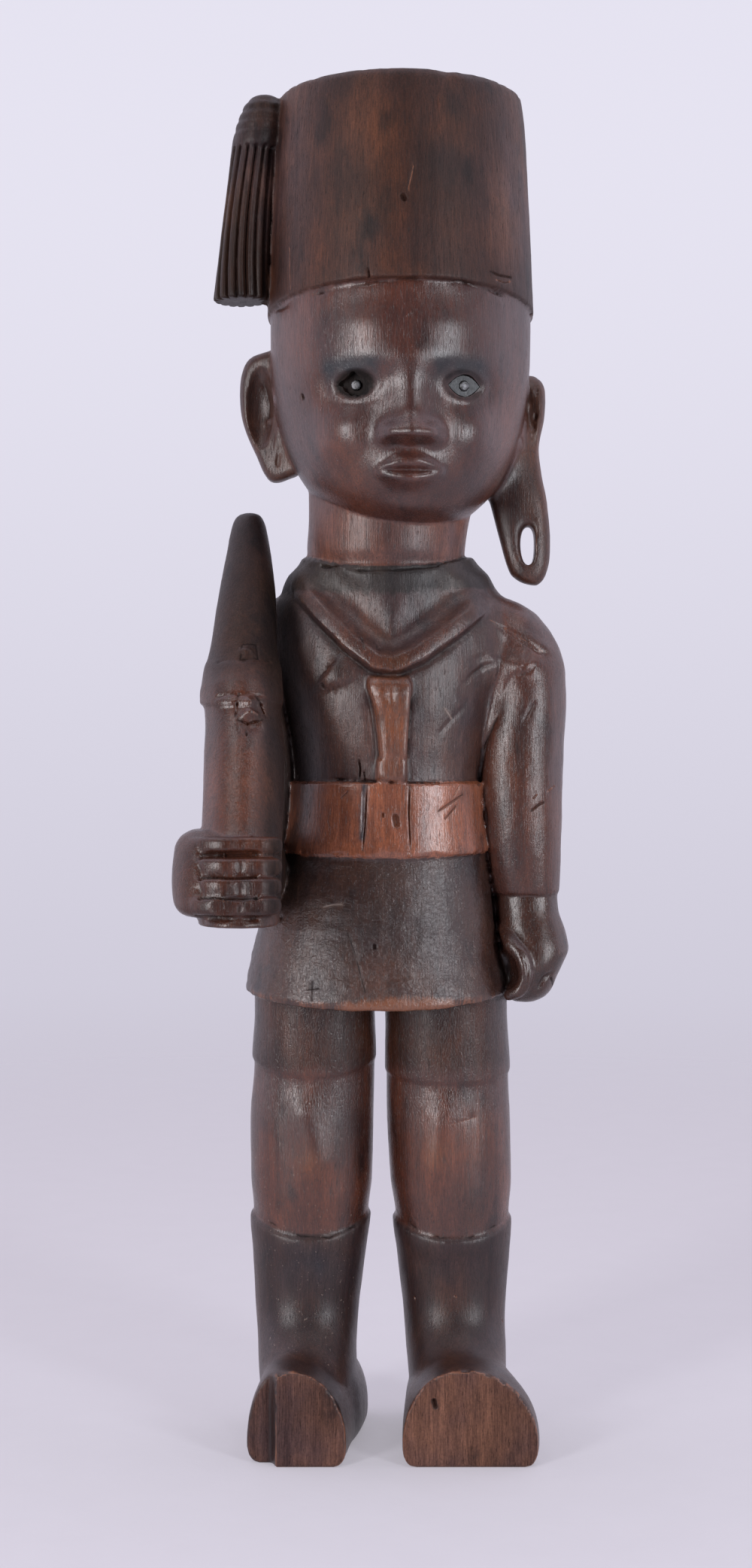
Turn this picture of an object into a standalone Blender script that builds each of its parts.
"""A carved wooden colonial soldier: a standing figure in a tall fez, belted tunic, shorts and boots.

The figure is one solid, carved from one block. Its eyes are inlaid: the left eye keeps its almond
plate with a stud for a pupil, and the right eye has lost its plate and keeps only the stud.
+Z is up, the figure faces -Y, and its own left side is +X. The origin is under the middle of its box.
Lengths in the tables are in six-hundredths of the figure's height, so they read as millimetres.
"""

import math

import bmesh
import bpy
from mathutils import Matrix, Vector

# Driving dimensions, in metres
HEIGHT = 0.600  # sole to the top of the fez
EYE_PLATE_WIDTH = 0.0145
EYE_PLATE_HEIGHT = 0.0088
EYE_PLATE_THICKNESS = 0.0026
EYE_PLATE_PROUD = 0.0006  # how far the plate stands out of its socket
STUD_HEAD_RADIUS = 0.0021
STUD_LENGTH = 0.0060
STUD_PROUD = 0.0012
FIT_CLEARANCE = 0.0003  # between an inlay and the wood or plate around it
LOST_PLATE_DEPTH = 0.0030  # depth of the empty right socket

UNIT = HEIGHT / 600

# Levels, in units
CHIN = 402
RIM = 499.5  # side of the fez's lower edge
RIM_LIFT = 7  # how far the rim rises in front and falls behind
BELT_LOW, BELT_HIGH = 260.5, 291
HEM = 198  # side of the tunic's lower edge
WRIST = 242  # end of the left sleeve
FACE_THIRD = (RIM + RIM_LIFT - 1 - CHIN) / 3
NOSE_BASE = CHIN + FACE_THIRD
BROW = CHIN + 2 * FACE_THIRD
EYE_LEVEL = BROW - 0.26 * FACE_THIRD
MOUTH_LEVEL = NOSE_BASE - FACE_THIRD / 3

# The head stands a little to the figure's left and looks that way
HEAD_X, HEAD_Y = 11, 0
HEAD_TURN = math.radians(4)
HEAD_HALF_WIDTH, HEAD_HALF_DEPTH = 58.5, 57.5
HEAD_WIDEST = 492  # level of the widest part
EGG = 2.4  # exponent of the head's outline
EYE_SPACING = HEAD_HALF_WIDTH * 2 / 5  # five eye widths across the head
EYE_TILT_BACK = math.radians(4)

# How far the cut front of each foot stands before the body's axis, in units
FOOT_CUT = 55
SPLIT_DEPTH = 6  # the right foot has lost this much more beside the cut

ROUND_SEGMENTS = 24


def place(points):
    """Points in units as vectors in metres."""
    return [Vector(p) * UNIT for p in points]


def add_object(name, mesh, smooth_angle=40):
    """A mesh as an object in the scene, shaded smooth except over sharp edges."""
    mesh.shade_smooth()
    mesh.set_sharp_from_angle(angle=math.radians(smooth_angle))
    obj = bpy.data.objects.new(name, mesh)
    bpy.context.scene.collection.objects.link(obj)
    return obj


def cap(shape, ring, fan):
    """Closes an end with one flat face, or with a fan about its middle where the end is curved."""
    if not fan:
        shape.faces.new(ring)
        return
    middle = shape.verts.new(sum((v.co for v in ring), Vector()) / len(ring))
    for i in range(len(ring)):
        shape.faces.new((ring[i], ring[(i + 1) % len(ring)], middle))


def loft(name, rings, closed=False, fan=False):
    """A closed solid through rings of points in units. A closed loft joins its last ring to its first."""
    shape = bmesh.new()
    made = [[shape.verts.new(p) for p in place(ring)] for ring in rings]
    pairs = list(zip(made, made[1:]))
    if closed:
        pairs.append((made[-1], made[0]))
    for low, high in pairs:
        for i in range(len(low)):
            j = (i + 1) % len(low)
            shape.faces.new((low[i], low[j], high[j], high[i]))
    if not closed:
        cap(shape, made[0], fan)
        cap(shape, made[-1], fan)
    bmesh.ops.recalc_face_normals(shape, faces=shape.faces)
    mesh = bpy.data.meshes.new(name)
    shape.to_mesh(mesh)
    shape.free()
    return add_object(name, mesh)


def power(value, exponent):
    """A signed power."""
    return math.copysign(abs(value) ** exponent, value)


def level_ring(z, x, y, half_width, front, back=None, squareness=2.0, dip=0.0, tilt=0.0, count=ROUND_SEGMENTS):
    """A level oval. Its front edge is lowered by dip, and tilt raises the front and lowers the back."""
    back = front if back is None else back
    ring = []
    for i in range(count):
        angle = 2 * math.pi * i / count
        across = power(math.cos(angle), 2 / squareness)
        ahead = -power(math.sin(angle), 2 / squareness)
        reach = front if ahead > 0 else back
        sunk = dip * max(0.0, ahead) ** 2 - tilt * ahead
        ring.append((x + half_width * across, y - reach * ahead, z - sunk))
    return ring


def tube(name, path, radii, count=10, start=(0, 0, 1)):
    """A solid of round rings along a path in units. Each ring is turned as little as possible from the last."""
    points = [Vector(p) for p in path]
    rise = Vector(start)
    rings = []
    for i, point in enumerate(points):
        along = (points[min(i + 1, len(points) - 1)] - points[max(i - 1, 0)]).normalized()
        rise = (rise - along * rise.dot(along)).normalized()
        side = along.cross(rise)
        ring = []
        for k in range(count):
            angle = 2 * math.pi * k / count
            ring.append(point + radii[i] * (side * math.cos(angle) + rise * math.sin(angle)))
        rings.append(ring)
    return loft(name, rings)


def rounded_ends(path, radius, steps=2):
    """A path with radii that close it with round ends: (points, radii)."""
    points = [Vector(p) for p in path]
    start = (points[0] - points[1]).normalized()
    end = (points[-1] - points[-2]).normalized()
    turns = [math.pi / 2 * k / (steps + 0.35) for k in range(1, steps + 1)]
    before = [(points[0] + start * radius * math.sin(t), radius * math.cos(t)) for t in reversed(turns)]
    after = [(points[-1] + end * radius * math.sin(t), radius * math.cos(t)) for t in turns]
    rows = before + [(p, radius) for p in points] + after
    return [p for p, _ in rows], [r for _, r in rows]


def finger(name, path, radius, count=8):
    points, radii = rounded_ends(path, radius)
    return tube(name, points, radii, count, start=(1, 1, 1))


def ball(name, centre, radii, segments=16, rings=8):
    """An ellipsoid with its centre and radii in units."""
    shape = bmesh.new()
    bmesh.ops.create_uvsphere(shape, u_segments=segments, v_segments=rings, radius=1)
    bmesh.ops.transform(shape, matrix=Matrix.Diagonal((*[r * UNIT for r in radii], 1)), verts=shape.verts)
    bmesh.ops.translate(shape, vec=Vector(centre) * UNIT, verts=shape.verts)
    mesh = bpy.data.meshes.new(name)
    shape.to_mesh(mesh)
    shape.free()
    return add_object(name, mesh)


def block(name, low, high):
    """A box from its lowest to its highest corner in units."""
    (x0, y0, z0), (x1, y1, z1) = low, high
    return loft(name, [[(x0, y0, z), (x1, y0, z), (x1, y1, z), (x0, y1, z)] for z in (z0, z1)])


# The head and what it wears

def bell(distance, width):
    """A smooth bump of height 1 that has faded out two widths from its middle."""
    return math.exp(-((distance / width) ** 2))


def face_relief(across, z):
    """How far the face stands out of the plain egg, in units, at a distance across from its middle."""
    side = abs(across)
    brow = 3.2 * bell(z - BROW, 5.5) * bell(side - 18, 19)
    socket = -4.2 * bell(side - EYE_SPACING, 11) * bell(z - EYE_LEVEL - 1, 6.5)
    down = min(max((BROW - 2 - z) / (BROW - 2 - NOSE_BASE), 0), 1)  # 0 at the nose's root, 1 at its base
    under = bell(min(z - NOSE_BASE - 2, 0), 2.2) * bell(max(z - BROW, 0), 5)
    nose = (2.5 + 8.5 * down) * bell(across, 4.2 + 3.8 * down) * under
    wings = 4.5 * bell(side - 7.5, 4) * bell(z - NOSE_BASE - 3.5, 3.6)
    muzzle = 2.4 * bell(across, 20) * bell(z - MOUTH_LEVEL, 10)
    lip_reach = bell(across, 14.5)
    upper_lip = 2.8 * bell(z - MOUTH_LEVEL - 3.6, 2.6) * lip_reach
    lower_lip = 3.1 * bell(z - MOUTH_LEVEL + 3.8, 2.8) * bell(across, 12.5)
    chin = 2.6 * bell(across, 13) * bell(z - CHIN - 8, 6)
    cheek = 2.2 * bell(side - 30, 13) * bell(z - NOSE_BASE - 4, 13)
    return brow + socket + nose + wings + muzzle + upper_lip + lower_lip + chin + cheek


def head_turned(points):
    """Points given about the head's own axis, turned and moved to where the head stands."""
    turn = Matrix.Rotation(HEAD_TURN, 3, "Z")
    return [turn @ Vector(p) + Vector((HEAD_X, HEAD_Y, 0)) for p in points]


def egg_share(z):
    """Half width of the head at a level, as a share of its greatest."""
    height = HEAD_WIDEST - CHIN
    return max(0.0, 1 - abs((z - HEAD_WIDEST) / height) ** EGG) ** (1 / EGG)


def jaw_reach(z):
    """How far the lower face stands forward of the skull's axis."""
    return 15 * (1 - min(1.0, (z - CHIN) / 50)) ** 1.5


def egg_front(z, across):
    """How far the plain egg stands ahead of the head's axis at a level, a distance across from its middle."""
    share = egg_share(z)
    forward = jaw_reach(z)
    inside = max(0.0, 1 - (across / (HEAD_HALF_WIDTH * share)) ** 2)
    return forward + HEAD_HALF_DEPTH * share * math.sqrt(inside)


def head_levels():
    """Levels of the head's rings, closer together over the mouth and nose."""
    under_chin = [CHIN + 0.8, CHIN + 5]
    lips = [MOUTH_LEVEL + step for step in (-11, -7, -3.8, -1.2, 0, 1.2, 3.8, 7)]
    nose = [NOSE_BASE + step for step in (-3.2, -0.5, 2, 6, 12)]
    eyes = [EYE_LEVEL + step for step in (-8, -2, 4)]
    forehead = [BROW, BROW + 6, BROW + 15, RIM - 6, RIM + 12]
    return under_chin + lips + nose + eyes + forehead


def head_angles():
    """Directions of a ring's points about the head, closer together over the face. 0 is straight ahead."""
    half = [4, 8.5, 14, 20, 27, 36, 48, 64, 86, 114, 148]
    return [math.radians(a) for a in [-a for a in reversed(half)] + [0] + half]


def head():
    rings = []
    for z in head_levels():
        share = egg_share(z)
        forward = jaw_reach(z)
        ring = []
        for angle in head_angles():
            across = HEAD_HALF_WIDTH * share * math.sin(angle)
            ahead = HEAD_HALF_DEPTH * share * math.cos(angle)
            if ahead > 0:
                ahead += face_relief(across, z) * min(1.0, 2 * math.cos(angle))
            ring.append((across, -ahead - forward, z))
        rings.append(head_turned(ring))
    return loft("head", rings)


def neck():
    rows = ((372, 4.5, 35.4), (392, 4.4, 35.3), (406, 5.6, 35.8), (418, 7, 37.2), (432, 8.5, 38.5))
    return loft("neck", [level_ring(z, x, -1, half, 33, 34) for z, x, half in rows])


def fez():
    """A truncated cone. Its rim rises in front and its flat top has a worn, rounded edge."""
    rows = (
        (RIM, 59.9, RIM_LIFT),
        (RIM + 60, 57.2, 1),
        (598.6, 54.0, -1),
        (600, 52.0, 0),
    )
    rings = [level_ring(z, 0, 0, half, half, half, tilt=tilt, count=36) for z, half, tilt in rows]
    return loft("fez", [head_turned(ring) for ring in rings])


TASSEL_TOP = (-54.5, -9)  # x and y of the tassel's axis under its knob
TASSEL_FOOT = (-60.0, -11)  # and at its cut end
TASSEL_ENDS = 505, 574


def tassel():
    """A side tassel: a skirt of cords, carved as flutes, under a domed knob."""
    foot, top = TASSEL_ENDS
    flutes = 14
    rings = []
    for share, half in ((0, 12.4), (0.5, 11.2), (1.0, 9.6)):
        x = TASSEL_FOOT[0] + (TASSEL_TOP[0] - TASSEL_FOOT[0]) * share
        y = TASSEL_FOOT[1] + (TASSEL_TOP[1] - TASSEL_FOOT[1]) * share
        ring = []
        for i in range(2 * flutes):
            angle = math.pi * i / flutes
            reach = half * (1.0 if i % 2 == 0 else 0.9)
            ring.append((x + reach * math.cos(angle), y - reach * math.sin(angle), foot + (top + 3 - foot) * share))
        rings.append(ring)
    return loft("tassel_cords", rings)


def tassel_knob():
    rows = ((572.5, 8.6), (575.5, 10.2), (579, 10.2), (585, 9.4), (590.5, 7.6), (594.5, 4.6), (596.2, 1.4))
    rings = []
    for z, half in rows:
        x = TASSEL_TOP[0] + 0.16 * (z - 574)
        rings.append(level_ring(z, x + 1, TASSEL_TOP[1], half + 0.6, half + 1, count=20))
    return loft("tassel_knob", rings)


def oval_outline(centre, half_width, half_height, squareness=2.0, lean=0.0, count=18):
    """A closed oval outline in x and z. lean moves its top sideways."""
    outline = []
    for i in range(count):
        angle = 2 * math.pi * i / count
        x = half_width * power(math.cos(angle), 2 / squareness)
        z = half_height * power(math.sin(angle), 2 / squareness)
        outline.append((centre[0] + x + lean * z, centre[1] + z))
    return outline


def swept(name, outline, y_of, thickness):
    """A solid plate from an outline in x and z, with its front at y_of(x) and its back thickness behind."""
    rings = []
    for share in (0.0, 1.0):
        rings.append([(x, y_of(x) + thickness * share, z) for x, z in outline])
    return loft(name, rings)


def right_ear():
    """The ear at the figure's right: a big cupped plate that stands out from the head."""
    outline = oval_outline((-44.5, 457), 18, 30, squareness=2.3, lean=-0.1)
    return swept("right_ear", outline, lambda x: 4 + 0.35 * (-40 - x), 11)


def right_ear_hollow():
    outline = oval_outline((-50.5, 463), 8, 19, squareness=2.2, lean=-0.08, count=14)
    return swept("right_ear_hollow", outline, lambda x: -6 + 0.35 * (-40 - x), 16)


LEFT_EAR_ROWS = (  # level, inner edge, outer edge, y, half depth
    (379.8, 66.5, 73.0, 3, 2.8),
    (384, 61.0, 76.4, 3, 4.6),
    (392, 57.8, 78.4, 3, 5.6),
    (406, 54.0, 78.5, 4, 6.2),
    (418, 51.5, 77.3, 5, 6.8),
    (430, 52.0, 75.2, 7, 7.2),
    (442.6, 54.0, 73.9, 9, 6.8),
    (456, 56.0, 76.6, 11, 6.4),
    (469, 58.0, 77.3, 13, 5.8),
    (475.5, 61.0, 75.0, 14, 4.2),
)
LOBE_HOLE = ((68.6, 398), 3.1, 9.4)  # middle in x and z, half width, half height


def left_ear():
    """The ear at the figure's left, swept back, with its long stretched lobe."""
    rings = []
    for z, inner, outer, y, half_depth in LEFT_EAR_ROWS:
        middle, half = (inner + outer) / 2, (outer - inner) / 2
        rings.append(level_ring(z, middle, y, half, half_depth, squareness=2.6, count=16))
    return loft("left_ear", rings)


def lobe_hole():
    """The opening through the stretched lobe."""
    middle, half_width, half_height = LOBE_HOLE
    outline = oval_outline(middle, half_width, half_height, squareness=2.5, count=16)
    return swept("lobe_hole", outline, lambda x: -20, 50)


# The trunk and its dress

TRUNK_ROWS = (  # level, middle, half width, front, back, squareness, dip in front
    (HEM, 0.5, 59.0, 45.0, 42.5, 2.35, 5.0),
    (212, 0.2, 56.4, 44.0, 42.5, 2.3, 3),
    (227, 0.6, 53.2, 42.2, 41.0, 2.3, 1.5),
    (244, 2.0, 50.0, 40.4, 38.5, 2.25, 0),
    (260, 4.6, 45.8, 38.4, 35.3, 2.25, 0),
    (275, 5.0, 43.5, 37.2, 33.0, 2.25, 0),
    (293, 5.0, 43.0, 37.0, 32.5, 2.25, 0),
    (308, 5.0, 44.5, 38.2, 33.0, 2.25, 0),
    (326, 5.2, 48.0, 39.6, 34.0, 2.2, 0),
    (343, 5.5, 53.0, 38.6, 34.5, 2.15, 0),
    (356, 6.0, 56.0, 36.0, 33.5, 2.1, 0),
    (367, 6.5, 54.5, 34.0, 32.0, 2.1, 0),
    (376, 6.5, 48.5, 32.5, 31.5, 2.0, 1.5),
    (384, 6.0, 40.5, 32.5, 32.5, 2.0, 3),
)


def trunk():
    rings = [level_ring(z, x, 0, half, front, back, sq, dip) for z, x, half, front, back, sq, dip in TRUNK_ROWS]
    return loft("trunk", rings, fan=True)


def belt():
    proud = 2.3
    rows = ((BELT_LOW, 4.6, 45.6, 38.3, 35.2), (275, 5.0, 43.6, 37.2, 33.0), (BELT_HIGH, 5.0, 43.0, 37.0, 32.6))
    rings = [level_ring(z, x, 0, w + proud, f + proud, b + proud, 2.25) for z, x, w, f, b in rows]
    return loft("belt", rings)


def collar_stand():
    """The stand of the collar, a low ring round the neck that dips in front."""
    rows = ((374, 47.5, 34, 36, 6), (383.5, 46.0, 34.5, 36, 6), (388, 40.5, 35, 36, 7), (391.8, 38.4, 35, 36.5, 7.6))
    rings = [level_ring(z, 5.6, -0.5, half, f, b, dip=dip) for z, half, f, b, dip in rows]
    return loft("collar_stand", rings, fan=True)


COLLAR_EDGE = (  # the fold's edge from its right tip to its left, in units
    (-39.5, -14, 376),
    (-33, -25, 367),
    (-22, -35, 357),
    (-9, -39.5, 348.5),
    (5.5, -41.6, 342.5),
    (18, -40.5, 348.0),
    (34, -36.5, 357),
    (48, -26, 367.5),
    (58.5, -11, 376),
)


def collar_fold():
    """The rolled edge of the wide collar, a V across the chest."""
    radii = [3.4, 4.0, 4.2, 4.4, 4.8, 4.4, 4.2, 4.0, 3.4]
    return tube("collar_fold", COLLAR_EDGE, radii, count=8, start=(0, -1, 0))


PLACKET_ROWS = (  # level, right edge, left edge, y of its face
    (BELT_HIGH - 2, 2.8, 12.8, -41.0),
    (310, 2.6, 13.2, -42.2),
    (320, 2.2, 13.8, -43.2),
    (331, 0.8, 16.0, -43.2),
    (337, 3.0, 14.2, -42.4),
)


def placket():
    """The front band of the tunic, wide under the collar and narrower at the belt."""
    rings = []
    for z, right, left, y in PLACKET_ROWS:
        rings.append([(right, y + 2, z), (right + 2, y, z), (left - 2, y, z), (left, y + 2, z), (left, -30, z), (right, -30, z)])
    return loft("placket", rings)


# The arms

LEFT_ARM_ROWS = (  # level, middle, half width, half depth, y
    (WRIST, 67.3, 15.0, 16.0, -5),
    (256, 66.8, 15.9, 17.0, -4),
    (272, 66.3, 17.0, 18.0, -2.5),
    (290, 65.8, 18.0, 19.0, -1),
    (308, 66.3, 18.2, 19.6, 0),
    (326, 68.0, 17.6, 20.0, 0.5),
    (340, 67.4, 17.8, 20.4, 1),
    (350, 64.0, 19.0, 20.0, 1),
    (358, 59.8, 19.0, 19.0, 1),
    (366, 54.0, 18.4, 17.0, 1),
    (373, 49.0, 14.5, 13.5, 1),
)
ARM_AXIS = 5.3  # the arms mirror each other about this x


def left_arm():
    rings = [level_ring(z, x, y, half, deep, deep, 2.2, count=18) for z, x, half, deep, y in LEFT_ARM_ROWS]
    return loft("left_sleeve", rings)


def right_upper_arm():
    low = 234
    rings = [level_ring(low, 2 * ARM_AXIS - 67, 4, 12, 12, 12, 2.2, count=16)]
    for z, x, half, deep, y in LEFT_ARM_ROWS:
        rings.append(level_ring(z, 2 * ARM_AXIS - x, y + 3, half, deep, deep, 2.2, count=16))
    return loft("right_sleeve", rings)


def right_forearm():
    """The forearm, level and straight ahead from the elbow to the fist."""
    rows = ((16, -57, 251, 14, 15), (4, -57, 251.5, 17.5, 19), (-40, -58.5, 253, 18, 19.5), (-88, -62, 255.5, 17.5, 16.5))
    rings = []
    for y, x, z, half, tall in rows:
        ring = []
        for i in range(16):
            angle = 2 * math.pi * i / 16
            across, rise = power(math.cos(angle), 0.85), power(math.sin(angle), 0.85)
            ring.append((x + half * across, y, z + tall * rise))
        rings.append(ring)
    return loft("right_forearm", rings)


def left_hand():
    """The palm and back of the left hand, hanging beside the tunic."""
    rows = (
        (246, 67.4, 13.6, 13.5, -5),
        (236, 67.8, 13.6, 14.5, -5),
        (226, 69.4, 14.8, 17, -6),
        (216, 71.4, 15.2, 19, -6),
        (207, 73.4, 12.2, 19, -6),
        (199, 73.0, 9.2, 17.5, -6),
        (195.5, 71.5, 6.0, 14, -6),
    )
    return loft("left_hand", [level_ring(z, x, y, half, deep, deep, 2.4, count=16) for z, x, half, deep, y in rows])


def left_fingers():
    """Four fingers curled in under the palm, and the thumb in front of them."""
    made = []
    for i, y in enumerate((-20.5, -11.5, -2.5, 6)):
        path = [(78.5, y, 211), (78, y - 0.4, 202), (72, y - 0.6, 196.2), (64.5, y, 194.6), (59.5, y + 0.5, 199)]
        made.append(finger(f"left_finger_{i}", path, 4.7 - 0.15 * i))
    path = [(58.5, -15, 226), (61.5, -22, 219), (65.5, -27, 211), (65, -28, 203.5), (60.5, -27, 199.3)]
    made.append(finger("left_thumb", path, 4.6))
    return made


RIFLE_FOOT = (-55.5, -102, 235)  # middle of the butt's cut end
RIFLE_LEAN = 0.56  # how far the rifle goes back for each unit that it rises


def rifle():
    """A stylised rifle at the slope: a plain butt, a banded breech and a barrel that tapers to a broken end."""
    rows = (
        (RIFLE_FOOT[2], -55.5, 16.2),
        (250, -55.3, 16.5),
        (304, -55.6, 16.8),
        (319, -56.5, 16.4),
        (324.6, -57, 16.7),
        (325, -57.3, 17.9),
        (333, -57.5, 17.3),
        (342.6, -57.3, 16.2),
        (343.2, -57.3, 15.7),
        (369, -56.6, 13.0),
        (390, -56.6, 10.2),
        (403, -56.9, 8.2),
        (408.5, -57.0, 6.3),
        (411.5, -56.6, 3.2),
    )
    rings = []
    for z, x, half in rows:
        y = RIFLE_FOOT[1] + RIFLE_LEAN * (z - RIFLE_FOOT[2])
        rings.append(level_ring(z, x, y, half, half * 1.12, count=24))
    return loft("rifle", rings)


def rifle_axis(z):
    return RIFLE_FOOT[1] + RIFLE_LEAN * (z - RIFLE_FOOT[2])


def rifle_lugs():
    """The trigger lug under the breech band and the small sight block above it."""
    lug = ball("trigger_lug", (-55.2, rifle_axis(321) - 17.5, 321), (6.2, 5.0, 4.6), 12, 6)
    sight = block("sight_block", (-57.6, rifle_axis(347) - 19.2, 343), (-51.8, rifle_axis(347) - 8, 349.4))
    return [lug, sight]


def right_fist():
    """The back of the right hand and the heel of the palm, closed round the butt."""
    rows = (
        (239.8, -63.5, 14.5, 15),
        (243.5, -63.2, 18.6, 18.5),
        (256, -63.0, 20.3, 20.0),
        (267, -63.0, 19.4, 19.2),
        (272.5, -62.8, 15.5, 16),
    )
    rings = []
    for z, x, half, deep in rows:
        rings.append(level_ring(z, x, rifle_axis(z) - 1, half, deep, deep, 2.7, count=20))
    return loft("right_fist", rings)


def right_fingers():
    """Four fingers that cross the front of the butt, one above the other."""
    made = []
    for i, z in enumerate((244.8, 252, 259.4, 266.8)):
        y = rifle_axis(z)
        path = [(-71, y - 15, z), (-63, y - 19.6, z), (-55, y - 19.8, z), (-47, y - 18.0, z), (-42.5, y - 13.5, z)]
        made.append(finger(f"right_finger_{i}", path, 3.9))
    return made


# The legs

def leg(name, rows):
    """A leg from the boot up. Each row: level, middle, half width, front, back, dip in front."""
    rings = []
    for z, x, half, front, back, dip in rows:
        rings.append(level_ring(z, x, 1, half, front, back, 2.15, dip, count=20))
    return loft(name, rings)


def legs():
    """Both legs: boots with a raised top edge, knees, and shorts with a raised hem."""
    right = leg(
        "right_leg",
        (
            (14, -30.0, 21.5, 22, 22, 0),
            (36, -30.9, 22.0, 22.5, 22, 0),
            (53, -30.9, 23.1, 23.2, 22.5, 0),
            (80, -30.0, 25.4, 25, 25, 4),
            (97.6, -29.4, 27.0, 26.8, 27, 7.4),
            (98.0, -29.3, 25.6, 25.4, 25.6, 7.4),
            (114, -29.0, 27.2, 27.4, 26, 4),
            (141, -28.8, 27.6, 28.2, 26.5, 2),
            (166.5, -27.8, 27.0, 27.6, 27, 5),
            (167, -27.6, 28.2, 28.8, 28.2, 5),
            (187, -26.3, 28.2, 29.5, 29, 2),
            (206, -25.0, 29.5, 30, 30, 0),
        ),
    )
    left = leg(
        "left_leg",
        (
            (14, 37.0, 21.5, 22, 22, 0),
            (36, 36.0, 22.4, 22.5, 22, 0),
            (53, 35.3, 22.8, 23.2, 22.5, 0),
            (80, 34.8, 25.4, 25, 25, 3),
            (95.6, 34.3, 26.8, 26.8, 27, 6),
            (96.0, 34.3, 25.4, 25.4, 25.6, 6),
            (114, 33.7, 27.2, 27.4, 26, 4),
            (141, 32.6, 27.6, 28.2, 26.5, 2),
            (161.0, 32.2, 27.3, 27.8, 27, 2.5),
            (161.5, 32.2, 28.3, 28.8, 28.2, 2.5),
            (187, 30.7, 28.2, 29.5, 29, 1),
            (206, 28.5, 29.5, 30, 30, 0),
        ),
    )
    return [right, left]


def foot_ring(y, left_edge, right_edge, height, apex, corner=5.0):
    """An upright section of a foot: flat below with rounded corners, arched above with its apex at x."""
    top = 10
    ring = []
    for i in range(top + 1):
        angle = math.pi * i / top
        reach = math.cos(angle)
        edge = right_edge - apex if reach > 0 else apex - left_edge
        ring.append((apex + edge * reach, y, corner * 1.6 + (height - corner * 1.6) * power(math.sin(angle), 0.9)))
    ring += [(left_edge + 0.4, y, corner), (left_edge + corner * 0.35, y, corner * 0.4), (left_edge + corner, y, 0)]
    ring += [(right_edge - corner, y, 0), (right_edge - corner * 0.35, y, corner * 0.4), (right_edge - 0.4, y, corner)]
    return ring


def feet():
    """Both feet: the heels are whole, and the toes are lost at a flat cut across the instep."""
    left_rows = (
        (-FOOT_CUT, 11.2, 69.2, 41.3, 37),
        (-44, 11.6, 70.8, 44.5, 37),
        (-30, 12.5, 69.0, 51, 37),
        (-14, 13, 62, 52, 37),
        (6, 13.5, 59, 46, 37),
        (22, 16, 57, 34, 37),
        (29, 23, 50, 22, 37),
    )
    right_rows = (
        (-FOOT_CUT, -55.2, -12.8, 43, -39),
        (-44, -55.6, -11.5, 46, -38),
        (-30, -54.6, -9.6, 51, -36),
        (-14, -53, -6, 52, -33),
        (6, -50, -3.6, 46, -29),
        (22, -46, -5, 34, -26),
        (29, -38, -12, 22, -25),
    )
    left = loft("left_foot", [foot_ring(*row) for row in left_rows])
    right = loft("right_foot", [foot_ring(*row) for row in right_rows])
    return [left, right]


def split_off():
    """The sliver that has split off the right foot's outer front, beside the flat cut."""
    inner = -42.5
    outline = ((-70, -FOOT_CUT - 5), (inner, -FOOT_CUT - 5), (inner, -FOOT_CUT), (inner - 2.5, -FOOT_CUT + SPLIT_DEPTH), (-70, -FOOT_CUT + SPLIT_DEPTH))
    return loft("split_off", [[(x, y, z) for x, y in outline] for z in (-5, 60)])


# The inlaid eyes

def eye_frame(side):
    """Where an eye's middle lies on the face, in metres, as a matrix whose local -Y points out of the face."""
    across = side * EYE_SPACING
    ahead = egg_front(EYE_LEVEL, across) + face_relief(across, EYE_LEVEL)
    middle = head_turned([(across, -ahead, EYE_LEVEL)])[0] * UNIT
    turn = HEAD_TURN + side * math.asin(EYE_SPACING / HEAD_HALF_WIDTH) * 0.75
    return Matrix.Translation(middle) @ Matrix.Rotation(turn, 4, "Z") @ Matrix.Rotation(EYE_TILT_BACK, 4, "X")


def almond(half_width, half_height, count=9):
    """An almond outline of two arcs that meet in a point at each side."""
    upper = []
    for i in range(count):
        share = 2 * i / (count - 1) - 1
        upper.append((half_width * share, half_height * (1 - share * share)))
    lower = [(x, -z) for x, z in reversed(upper[1:-1])]
    return upper + lower


def prism(name, outline, out, sunk, frame):
    """A solid from an outline in metres, from out ahead of the frame's face to sunk behind it."""
    shape = bmesh.new()
    front = [shape.verts.new(frame @ Vector((x, -out, z))) for x, z in outline]
    back = [shape.verts.new(frame @ Vector((x, sunk, z))) for x, z in outline]
    for i in range(len(outline)):
        j = (i + 1) % len(outline)
        shape.faces.new((front[i], front[j], back[j], back[i]))
    shape.faces.new(front)
    shape.faces.new(back)
    bmesh.ops.recalc_face_normals(shape, faces=shape.faces)
    mesh = bpy.data.meshes.new(name)
    shape.to_mesh(mesh)
    shape.free()
    return add_object(name, mesh)


def circle(radius, count=16):
    return [(radius * math.cos(2 * math.pi * i / count), radius * math.sin(2 * math.pi * i / count)) for i in range(count)]


def stud(name, frame, base_out):
    """A pupil stud: a shank with a low domed head that stands proud of what it is driven into."""
    shape = bmesh.new()
    profile = [
        (STUD_HEAD_RADIUS, base_out - STUD_LENGTH),
        (STUD_HEAD_RADIUS, base_out + STUD_PROUD * 0.45),
        (STUD_HEAD_RADIUS * 0.8, base_out + STUD_PROUD * 0.85),
        (STUD_HEAD_RADIUS * 0.35, base_out + STUD_PROUD),
    ]
    rings = [[shape.verts.new(frame @ Vector((x, -out, z))) for x, z in circle(r)] for r, out in profile]
    for low, high in zip(rings, rings[1:]):
        for i in range(len(low)):
            j = (i + 1) % len(low)
            shape.faces.new((low[i], low[j], high[j], high[i]))
    shape.faces.new(rings[0])
    shape.faces.new(rings[-1])
    bmesh.ops.recalc_face_normals(shape, faces=shape.faces)
    mesh = bpy.data.meshes.new(name)
    shape.to_mesh(mesh)
    shape.free()
    return add_object(name, mesh)


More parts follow.
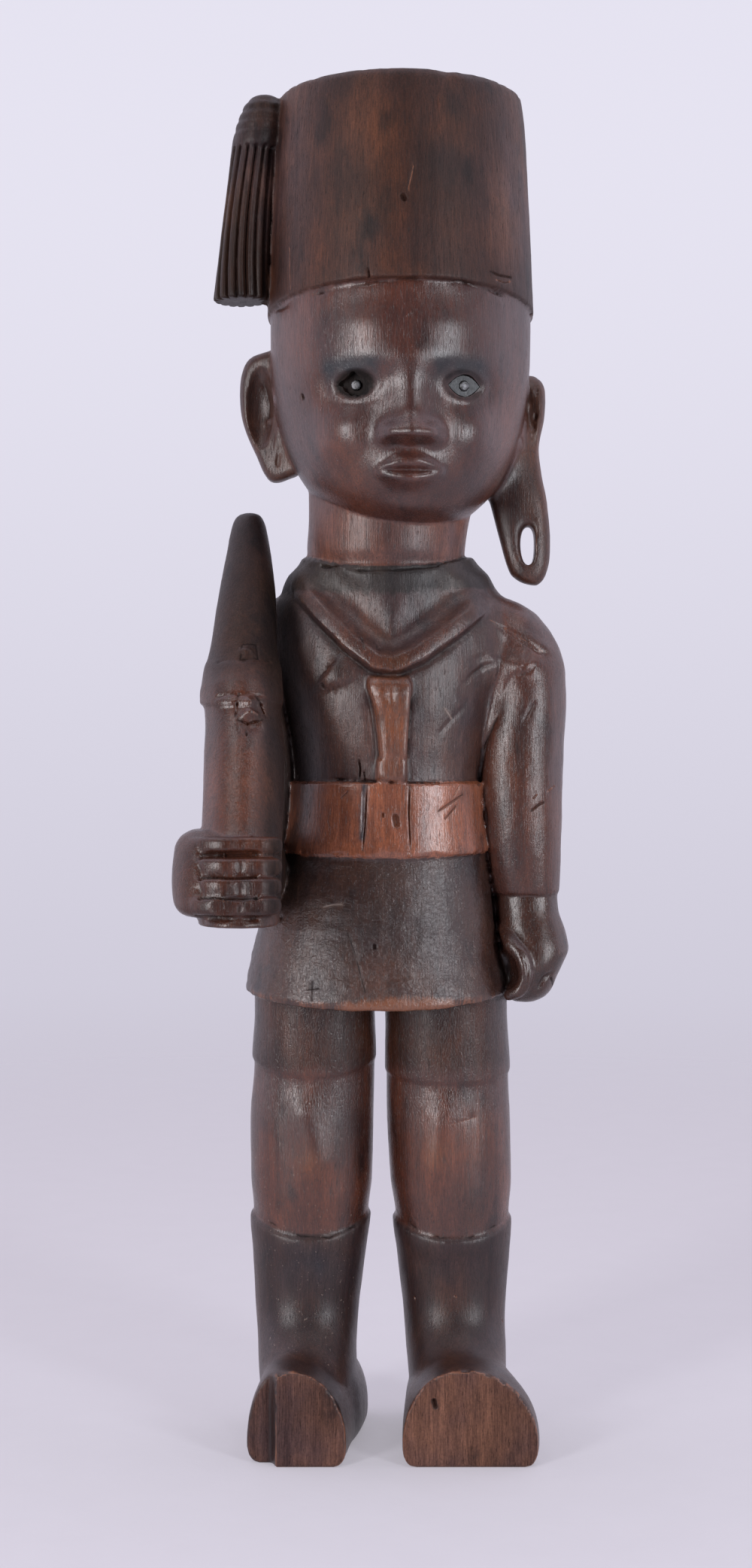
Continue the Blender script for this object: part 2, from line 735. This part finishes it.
def eye_plate(frame):
    outline = almond(EYE_PLATE_WIDTH / 2, EYE_PLATE_HEIGHT / 2)
    plate = prism("left_eye_plate", outline, EYE_PLATE_PROUD, EYE_PLATE_THICKNESS - EYE_PLATE_PROUD, frame)
    bore = prism("plate_bore", circle(STUD_HEAD_RADIUS + FIT_CLEARANCE), 0.01, 0.01, frame)
    cut(plate, [bore])
    return plate


def socket_cuts(left, right):
    """What is cut from the head for both eyes: a fitted socket, an empty one, and a bore for each stud."""
    grown = FIT_CLEARANCE
    fitted = almond(EYE_PLATE_WIDTH / 2 + 2.2 * grown, EYE_PLATE_HEIGHT / 2 + 1.4 * grown)
    empty = almond(EYE_PLATE_WIDTH / 2 - 0.0006, EYE_PLATE_HEIGHT / 2 + 0.0004)
    bore = circle(STUD_HEAD_RADIUS + grown)
    plate_back = EYE_PLATE_THICKNESS - EYE_PLATE_PROUD
    return [
        prism("left_socket", fitted, 0.02, plate_back + grown, left),
        prism("left_bore", bore, 0.02, STUD_LENGTH - EYE_PLATE_PROUD + grown, left),
        prism("right_socket", empty, 0.02, LOST_PLATE_DEPTH, right),
        prism("right_bore", bore, 0.02, stud_depth_right() + STUD_LENGTH + grown, right),
    ]


def stud_depth_right():
    """How far below the face the lone stud's seat lies."""
    return LOST_PLATE_DEPTH - STUD_PROUD


# Joining the forms, and the finish

def helper_collection(name, members):
    """Puts helper shapes in a collection of their own, out of the render."""
    holder = bpy.data.collections.new(name)
    bpy.context.scene.collection.children.link(holder)
    for obj in members:
        bpy.context.scene.collection.objects.unlink(obj)
        holder.objects.link(obj)
        obj.hide_render = True
        obj.display_type = "WIRE"
    return holder


def combine(obj, others, operation, name):
    modifier = obj.modifiers.new(name, "BOOLEAN")
    modifier.operation = operation
    modifier.solver = "EXACT"
    modifier.operand_type = "COLLECTION"
    modifier.collection = helper_collection(f"{obj.name}_{name}", others)


def cut(obj, cutters):
    combine(obj, cutters, "DIFFERENCE", "cuts")


def material(name, colour, roughness, metallic=0.0):
    made = bpy.data.materials.new(name)
    made.use_nodes = True
    shader = made.node_tree.nodes["Principled BSDF"]
    shader.inputs["Base Color"].default_value = (*colour, 1)
    shader.inputs["Roughness"].default_value = roughness
    shader.inputs["Metallic"].default_value = metallic
    return made


def centre_on_origin(objects):
    """Parents everything to an empty and moves it, so that the origin is under the middle of the box."""
    bpy.context.view_layer.update()
    graph = bpy.context.evaluated_depsgraph_get()
    corners = [obj.matrix_world @ Vector(c) for obj in objects for c in obj.evaluated_get(graph).bound_box]
    low = Vector([min(c[i] for c in corners) for i in range(3)])
    high = Vector([max(c[i] for c in corners) for i in range(3)])
    holder = bpy.data.objects.new("figure_origin", None)
    bpy.context.scene.collection.objects.link(holder)
    for obj in bpy.context.scene.objects:
        if obj.parent is None and obj != holder:
            obj.parent = holder
    holder.location = (-(low.x + high.x) / 2, -(low.y + high.y) / 2, -low.z)


def main():
    for obj in list(bpy.data.objects):
        bpy.data.objects.remove(obj, do_unlink=True)

    figure = trunk()
    figure.name = "figure"
    forms = [belt(), collar_stand(), collar_fold(), placket(), neck(), head(), fez(), tassel(), tassel_knob()]
    forms += [right_ear(), left_ear()]
    forms += [left_arm(), left_hand(), right_upper_arm(), right_forearm(), right_fist(), rifle()]
    forms += left_fingers() + right_fingers() + rifle_lugs() + legs() + feet()
    combine(figure, forms, "UNION", "forms")

    left_frame, right_frame = eye_frame(1), eye_frame(-1)
    cut(figure, socket_cuts(left_frame, right_frame) + [right_ear_hollow(), lobe_hole(), split_off()])

    plate = eye_plate(left_frame)
    left_stud = stud("left_eye_stud", left_frame, EYE_PLATE_PROUD)
    right_stud = stud("right_eye_stud", right_frame, -stud_depth_right())

    wood = material("carved_wood", (0.075, 0.032, 0.020), 0.45)
    inlay = material("eye_plate", (0.13, 0.14, 0.145), 0.4, 0.3)
    metal = material("eye_stud", (0.20, 0.20, 0.20), 0.35, 0.8)
    for obj, finish in ((figure, wood), (plate, inlay), (left_stud, metal), (right_stud, metal)):
        obj.data.materials.append(finish)
    centre_on_origin([figure, plate, left_stud, right_stud])


main()
